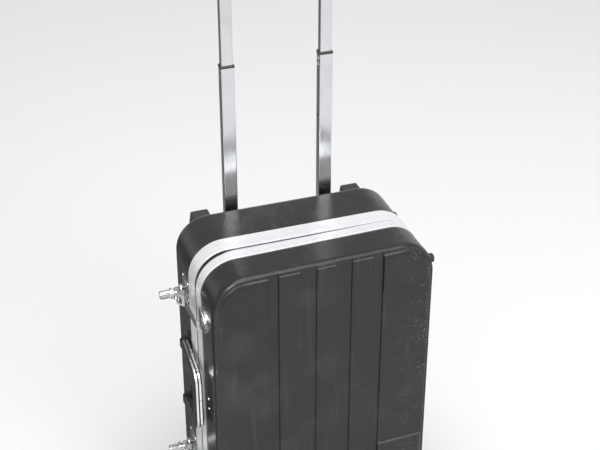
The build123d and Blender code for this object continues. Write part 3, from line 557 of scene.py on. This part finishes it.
def modify(piece: bpy.types.Object, kind: str, **settings: object) -> None:
    """Add a modifier and apply it."""
    clear_selection()
    piece.select_set(True)
    bpy.context.view_layer.objects.active = piece
    modifier = piece.modifiers.new(kind.lower(), kind)
    for name, value in settings.items():
        setattr(modifier, name, value)
    bpy.ops.object.modifier_apply(modifier=modifier.name)


def hand_in(piece: bpy.types.Object, material: bpy.types.Material, body: str,
            angle: float = 40.0) -> None:
    """Finish a new piece: shading, finish and the body it rides on.

    Args:
        piece: the new piece.
        material: its finish.
        body: the CAD body it moves with.
        angle: edges sharper than this stay sharp, in degrees.
    """
    clear_selection()
    piece.select_set(True)
    bpy.context.view_layer.objects.active = piece
    bpy.ops.object.shade_smooth_by_angle(angle=math.radians(angle))
    piece.data.materials.clear()
    piece.data.materials.append(material)
    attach(piece, body)
    log.info("built %s, %d faces, on %s", piece.name, len(piece.data.polygons), body)


@dataclass(frozen=True)
class LidHinge:
    """Where the lid turns and how far ajar it stands."""

    place: Point
    ajar: float

    @staticmethod
    def of(frame: dict) -> "LidHinge":
        """Read the lid's hinge from the frame's joints."""
        joint = next(j for j in frame["joints"] if j["name"] == "lid_hinge")
        return LidHinge(tuple(joint["pos_m"]), -math.radians(joint["range_deg"][0]))


def swing(piece: bpy.types.Object, hinge: LidHinge) -> None:
    """Turn a piece modelled in the shut lid to where the lid stands ajar."""
    pivot = Matrix.Translation(hinge.place)
    piece.matrix_world = pivot @ Matrix.Rotation(hinge.ajar, 4, "Z") @ pivot.inverted()
    clear_selection()
    piece.select_set(True)
    bpy.context.view_layer.objects.active = piece
    bpy.ops.object.transform_apply(location=True, rotation=True, scale=True)


# ---------------------------------------------------------------- sub-assemblies

@dataclass
class Shells:
    """The two plastic shells, their edge frames and what stands on them."""

    frame: dict
    finishes: Finishes

    def dress(self) -> None:
        """Give the shells, frames and gasket their finishes."""
        dress(self.frame, self.finishes.shell, "front_shell", "back_shell")
        dress(self.frame, self.finishes.edge_metal, "front_frame", "back_frame")
        dress(self.frame, self.finishes.gasket, "frame_gasket")


@dataclass
class Hardware:
    """Hinges, rivets, screws, side feet and stand-offs."""

    frame: dict
    finishes: Finishes

    def dress(self) -> None:
        """Give the small fittings their finishes."""
        dress(self.frame, self.finishes.plate, "hinge_back_leaves", "hinge_lid_leaves")
        dress(self.frame, self.finishes.bright_steel, "case_rivets", "lid_rivets", "hinge_pins",
              "back_foot_studs", "lid_foot_studs")
        dress(self.frame, self.finishes.black_steel, "case_screws")
        dress(self.frame, self.finishes.moulded, "stand_offs", "back_side_feet", "lid_side_feet", "foot_rail")
        dress(self.frame, self.finishes.gasket, "foot_rail_pad")


@dataclass
class DrawLocks:
    """The two tilting-barrel locks and their keepers."""

    frame: dict
    finishes: Finishes
    hinge: LidHinge
    rim_width: float = 0.0032
    rim_height: float = 0.0030
    rim_half_tall: float = 0.0205
    rim_reach: float = 0.0350
    rim_back_y: float = 0.0340
    plate_face_x: float = -0.2024
    rim_sides: int = 48

    def build(self, heights: dict[str, float]) -> None:
        """Model the raised half-round rim on each keeper.

        Args:
            heights: each lock's name and its height.
        """
        for name, height in heights.items():
            clear_selection()
            bpy.ops.mesh.primitive_cylinder_add(
                vertices=self.rim_sides, radius=1.0, depth=self.rim_height,
                location=(self.plate_face_x - self.rim_height / 2, self.rim_back_y, height),
                rotation=(0, math.pi / 2, 0), scale=(self.rim_half_tall, self.rim_reach, 1.0))
            rim = bpy.context.object
            rim.name = f"keeper_rim_{name}"
            bpy.ops.object.transform_apply(location=True, rotation=True, scale=True)
            edit(rim)
            bpy.ops.mesh.select_all(action="SELECT")
            bpy.ops.mesh.bisect(plane_co=(0, self.rim_back_y, 0), plane_no=(0, 1, 0), use_fill=True,
                                clear_outer=True)
            pick(rim, "FACE", lambda middle, normal: normal.x < -0.9)
            bpy.ops.mesh.inset(thickness=self.rim_width)
            bpy.ops.transform.translate(value=(self.rim_height * 0.8, 0, 0))
            leave_edit()
            modify(rim, "BEVEL", width=0.0007, segments=3, limit_method="ANGLE")
            swing(rim, self.hinge)
            hand_in(rim, self.finishes.plate, "lid")

    def dress(self) -> None:
        """Give both locks their finishes."""
        dress(self.frame, self.finishes.plate, "lock_bases", "lock_keepers")
        dress(self.frame, self.finishes.bright_steel, "lock_pivot_pins")
        for end in ("upper", "lower"):
            dress(self.frame, self.finishes.plate, f"lock_barrel_{end}", f"lock_hook_{end}")
            dress(self.frame, self.finishes.bright_steel, f"lock_core_{end}", f"hook_pin_{end}")


@dataclass
class SideHandle:
    """The folding carry handle."""

    frame: dict
    finishes: Finishes

    def dress(self) -> None:
        """Give the handle its finishes."""
        dress(self.frame, self.finishes.grip_plastic, "handle_bail")
        dress(self.frame, self.finishes.trim_metal, "handle_trim")
        dress(self.frame, self.finishes.black_steel, "handle_brackets", "handle_pins")


@dataclass
class PullHandle:
    """The two-stage telescopic handle."""

    frame: dict
    finishes: Finishes

    def dress(self) -> None:
        """Give the tubes, brackets and grip their finishes."""
        for side in ("left", "right"):
            dress(self.frame, self.finishes.tube_metal, f"housing_tube_{side}", f"lower_tube_{side}",
                  f"upper_tube_{side}")
        dress(self.frame, self.finishes.moulded, "tube_bracket_upper", "tube_bracket_lower", "stage1_collars",
              "stage1_shoes", "stage2_shoes", "grip_cover")
        dress(self.frame, self.finishes.grip_plastic, "grip_body", "release_button")
        dress(self.frame, self.finishes.bright_steel, "release_rods")


@dataclass
class Wheels:
    """The two wheels and their housings."""

    frame: dict
    finishes: Finishes

    def dress(self) -> None:
        """Give both wheels their finishes."""
        dress(self.frame, self.finishes.bright_steel, "wheel_axles")
        for side in ("left", "right"):
            dress(self.frame, self.finishes.tyre, f"tyre_{side}")
            dress(self.frame, self.finishes.hub, f"hub_{side}")
            dress(self.frame, self.finishes.bright_steel, f"wheel_bearings_{side}")
            dress(self.frame, self.finishes.moulded, f"wheel_housing_{side}")


@dataclass
class Lining:
    """Cloth-covered lining of one half, in place of its plain CAD tray."""

    finishes: Finishes
    node: str
    body: str
    opens_forward: bool
    low: Vector
    high: Vector
    hinge: LidHinge
    corner_radius: float = 0.0568
    floor_radius: float = 0.014
    cloth: float = 0.0018
    panel_margin: float = 0.030
    panel_rise: float = 0.003
    quilting: float = 0.004

    def build(self) -> None:
        """Model the tray with its raised floor panel."""
        low, high = self.low, self.high
        mouth = -1.0 if self.opens_forward else 1.0
        piece = start_block(self.node + "_cloth", low, high)
        edit(piece)
        pick(piece, "FACE", lambda middle, normal: normal.y * mouth > 0.9)
        bpy.ops.mesh.delete(type="FACE")
        pick(piece, "EDGE", lambda middle, run: abs(run.y) > 0.9)
        bpy.ops.mesh.bevel(offset=self.corner_radius, segments=12, affect="EDGES")
        floor_y = high.y if self.opens_forward else low.y
        pick(piece, "FACE", lambda middle, normal: abs(middle.y - floor_y) < 1e-4)
        bpy.ops.mesh.region_to_loop()
        bpy.ops.mesh.bevel(offset=self.floor_radius, segments=4, affect="EDGES")
        pick(piece, "FACE", lambda middle, normal: abs(middle.y - floor_y) < 1e-4)
        bpy.ops.mesh.inset(thickness=self.panel_margin, depth=0.0)
        bpy.ops.mesh.inset(thickness=self.panel_rise * 1.5, depth=0.0)
        bpy.ops.transform.translate(value=(0, mouth * self.panel_rise, 0))
        bpy.ops.mesh.inset(thickness=self.quilting, depth=0.0)
        bpy.ops.transform.translate(value=(0, mouth * self.panel_rise * 0.4, 0))
        leave_edit()
        modify(piece, "SOLIDIFY", thickness=self.cloth, offset=-1.0)
        if not self.opens_forward:
            swing(piece, self.hinge)
        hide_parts(self.node)
        hand_in(piece, self.finishes.lining, self.body, 50.0)


@dataclass
class PackingStraps:
    """Two webbing straps with side-release buckles across the back half."""

    finishes: Finishes
    low: Vector
    high: Vector
    width: float = 0.025
    thickness: float = 0.0014
    off_floor: float = 0.014
    crown: float = 0.016
    end_gap: float = 0.0035
    spread: float = 0.125
    buckle: Point = (0.052, 0.010, 0.034)

    def build(self) -> None:
        """Model both straps and their buckles."""
        middle_z = (self.low.z + self.high.z) / 2
        for name, height in (("upper", middle_z + self.spread), ("lower", middle_z - self.spread)):
            self._strap(name, height)
            self._buckle(name, height)

    def _strap(self, name: str, height: float) -> None:
        """One strap, which bows out a little over its middle."""
        y = self.high.y - self.off_floor
        piece = start_block(f"packing_strap_{name}",
                            (self.low.x + self.end_gap, y - self.thickness, height - self.width / 2),
                            (self.high.x - self.end_gap, y, height + self.width / 2))
        edit(piece)
        pick(piece, "EDGE", lambda middle, run: abs(run.x) > 0.9)
        bpy.ops.mesh.subdivide(number_cuts=31)
        reach = self.high.x - self.end_gap
        for share, rise in ((0.75, 0.35), (0.5, 0.35), (0.25, 0.3)):
            pick(piece, "FACE", lambda middle, normal: abs(middle.x) < reach * share)
            bpy.ops.transform.translate(value=(0, -self.crown * rise, 0))
        leave_edit()
        modify(piece, "SMOOTH", iterations=12, factor=0.6, use_z=False)
        modify(piece, "BEVEL", width=0.0004, segments=2, limit_method="ANGLE")
        hand_in(piece, self.finishes.webbing, "case")

    def _buckle(self, name: str, height: float) -> None:
        """One buckle: a rounded block with two finger windows."""
        y = self.high.y - self.off_floor - self.crown
        length, depth, tall = self.buckle
        piece = start_block(f"strap_buckle_{name}", (-length / 2, y - depth, height - tall / 2),
                            (length / 2, y + self.thickness, height + tall / 2))
        edit(piece)
        pick(piece, "EDGE", lambda middle, run: abs(run.x) > 0.9)
        bpy.ops.mesh.subdivide(number_cuts=3)
        pick(piece, "FACE", lambda middle, normal: normal.y < -0.9)
        bpy.ops.mesh.inset(thickness=0.003, use_individual=True)
        bpy.ops.transform.translate(value=(0, 0.002, 0))
        leave_edit()
        modify(piece, "BEVEL", width=0.0012, segments=3, limit_method="ANGLE")
        hand_in(piece, self.finishes.moulded, "case")


@dataclass
class LidPocket:
    """Cloth pocket on the lid's lining, with a rolled elastic hem along its mouth."""

    finishes: Finishes
    low: Vector
    high: Vector
    hinge: LidHinge
    margin: float = 0.026
    stand: float = 0.005
    crown: float = 0.007
    hem: float = 0.006
    share: float = 0.62
    off_floor: float = 0.006
    hem_stand: float = 0.001

    def build(self) -> None:
        """Model the pocket and its hem."""
        mouth_z = self.low.z + (self.high.z - self.low.z) * self.share
        floor_y = self.low.y + self.off_floor
        pocket = start_block("lid_pocket", (self.low.x + self.margin, floor_y, self.low.z + self.margin),
                             (self.high.x - self.margin, floor_y + self.stand, mouth_z))
        edit(pocket)
        pick(pocket, "FACE", lambda middle, normal: abs(normal.y) > 0.9)
        bpy.ops.mesh.subdivide(number_cuts=15)
        for inset, rise in ((0.020, 0.4), (0.045, 0.3), (0.075, 0.3)):
            pick(pocket, "FACE", lambda middle, normal: normal.y > 0.5
                 and abs(middle.x) < self.high.x - self.margin - inset
                 and middle.z > self.low.z + self.margin + inset)
            bpy.ops.transform.translate(value=(0, self.crown * rise, 0))
        leave_edit()
        modify(pocket, "SMOOTH", iterations=10, factor=0.5)
        modify(pocket, "SUBSURF", levels=1, render_levels=1)
        swing(pocket, self.hinge)
        hand_in(pocket, self.finishes.lining, "lid")
        hem_back = floor_y + self.hem_stand
        hem_front = floor_y + self.stand + self.crown + self.hem_stand
        hem = start_block("lid_pocket_hem", (self.low.x + self.margin, hem_back, mouth_z - self.hem),
                          (self.high.x - self.margin, hem_front, mouth_z + self.hem))
        modify(hem, "BEVEL", width=0.004, segments=4)
        swing(hem, self.hinge)
        hand_in(hem, self.finishes.webbing, "lid")


@dataclass
class Studio:
    """Pale floor, soft lights, a reflection card and the camera."""

    camera_place: Point = (-0.6724, -1.8105, 1.8126)
    camera_pitch: float = 31.15
    camera_yaw: float = 19.49
    lens: float = 81.8
    floor_half: float = 40.0
    bright_band: tuple[float, float] = (0.08, 0.35)
    sky_strength: float = 0.62
    card_place: Point = (-1.71, 2.06, 0.003)
    card_scale: Point = (3.0, 4.0, 1.0)
    aim: Point = (0.0, 0.05, 0.35)

    def build(self) -> None:
        """Lay the floor, light it and stand the camera."""
        self._floor()
        self._card()
        self._world()
        self._light("front_box", (0.90, -2.45, 1.85), (1.0, 1.0), 18.0)
        self._light("top_box", (0.15, -0.20, 3.6), (2.4, 2.4), 58.0)
        self._light("edge_box", (-1.10, -1.50, 2.20), (2.0, 1.8), 150.0, glossy_only=True)
        self._camera()

    def _floor(self) -> None:
        """Plain pale floor."""
        clear_selection()
        bpy.ops.mesh.primitive_plane_add(size=2 * self.floor_half)
        floor = bpy.context.object
        floor.name = "floor"
        bench = Bench("floor paper")
        soft = bench.noise(bench.place(), 1.2, 2.0)
        tone = bench.blend(soft, (0.93, 0.93, 0.93), (0.95, 0.95, 0.95))
        floor.data.materials.append(bench.finish(Base_Color=tone, Roughness=0.9, Specular_IOR_Level=0.1))

    def _card(self) -> None:
        """Dark card on the floor behind and left of the case, seen only in reflections."""
        clear_selection()
        bpy.ops.mesh.primitive_plane_add(size=1.0, location=self.card_place)
        card = bpy.context.object
        card.name = "reflection_card"
        card.scale = self.card_scale
        bench = Bench("card")
        card.data.materials.append(bench.finish(Base_Color=(0.16, 0.155, 0.15), Roughness=0.9))
        card.visible_camera = False
        card.visible_diffuse = False
        card.visible_shadow = False

    def _world(self) -> None:
        """Soft even light from all round, brightest near the horizon."""
        world = bpy.data.worlds.new("studio")
        world.use_nodes = True
        bpy.context.scene.world = world
        nodes, links = world.node_tree.nodes, world.node_tree.links
        background = next(n for n in nodes if n.type == "BACKGROUND")
        direction = nodes.new("ShaderNodeTexCoord")
        split = nodes.new("ShaderNodeSeparateXYZ")
        fade = nodes.new("ShaderNodeMapRange")
        fade.interpolation_type = "SMOOTHSTEP"
        fade.inputs["From Min"].default_value = self.bright_band[0]
        fade.inputs["From Max"].default_value = self.bright_band[1]
        fade.inputs["To Min"].default_value = 1.0
        fade.inputs["To Max"].default_value = self.sky_strength
        links.new(direction.outputs["Generated"], split.inputs[0])
        links.new(split.outputs["Z"], fade.inputs["Value"])
        links.new(fade.outputs[0], background.inputs["Strength"])
        background.inputs["Color"].default_value = (1.0, 1.0, 1.0, 1.0)

    def _light(self, name: str, place: Point, size: tuple[float, float], power: float,
               glossy_only: bool = False) -> None:
        """Add a soft box that faces the middle of the case.

        Args:
            name: the light's name.
            place: where it stands.
            size: its width and height.
            power: its power in watts.
            glossy_only: light reflections alone and not matt surfaces.
        """
        data = bpy.data.lights.new(name, "AREA")
        data.shape = "RECTANGLE"
        data.size, data.size_y = size
        data.energy = power
        lamp = bpy.data.objects.new(name, data)
        bpy.context.scene.collection.objects.link(lamp)
        lamp.visible_diffuse = not glossy_only
        lamp.location = place
        lamp.rotation_euler = (Vector(self.aim) - Vector(place)).to_track_quat("-Z", "Y").to_euler()

    def _camera(self) -> None:
        """Camera at the object's usual three-quarter view from above."""
        data = bpy.data.cameras.new("camera")
        data.sensor_width = 36.0
        data.lens = self.lens
        camera = bpy.data.objects.new("camera", data)
        bpy.context.scene.collection.objects.link(camera)
        camera.location = self.camera_place
        camera.rotation_euler = (math.radians(90.0 - self.camera_pitch), 0.0, math.radians(-self.camera_yaw))
        bpy.context.scene.camera = camera


def main() -> None:
    """Load the frame, build and dress every sub-assembly, and set the studio."""
    logging.basicConfig(level=logging.INFO, format="%(name)s: %(message)s")
    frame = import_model()
    bpy.context.scene.view_settings.view_transform = "Standard"
    finishes = Finishes()
    hinge = LidHinge.of(frame)
    for assembly in (Shells, Hardware, SideHandle, PullHandle, Wheels):
        assembly(frame, finishes).dress()
    locks = DrawLocks(frame, finishes, hinge)
    locks.dress()
    locks.build({end: sum(c.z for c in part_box(f"lock_core_{end}")) / 2 for end in ("upper", "lower")})
    low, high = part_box("back_lining")
    Lining(finishes, "back_lining", "case", True, low, high, hinge).build()
    floor_y, rim_y = LID_LINING_SPAN
    lid_low, lid_high = Vector((low.x, floor_y, low.z)), Vector((high.x, rim_y, high.z))
    Lining(finishes, "lid_lining", "lid", False, lid_low, lid_high, hinge).build()
    PackingStraps(finishes, low, high).build()
    LidPocket(finishes, lid_low, lid_high, hinge).build()
    Studio().build()


if __name__ == "__main__":
    main()
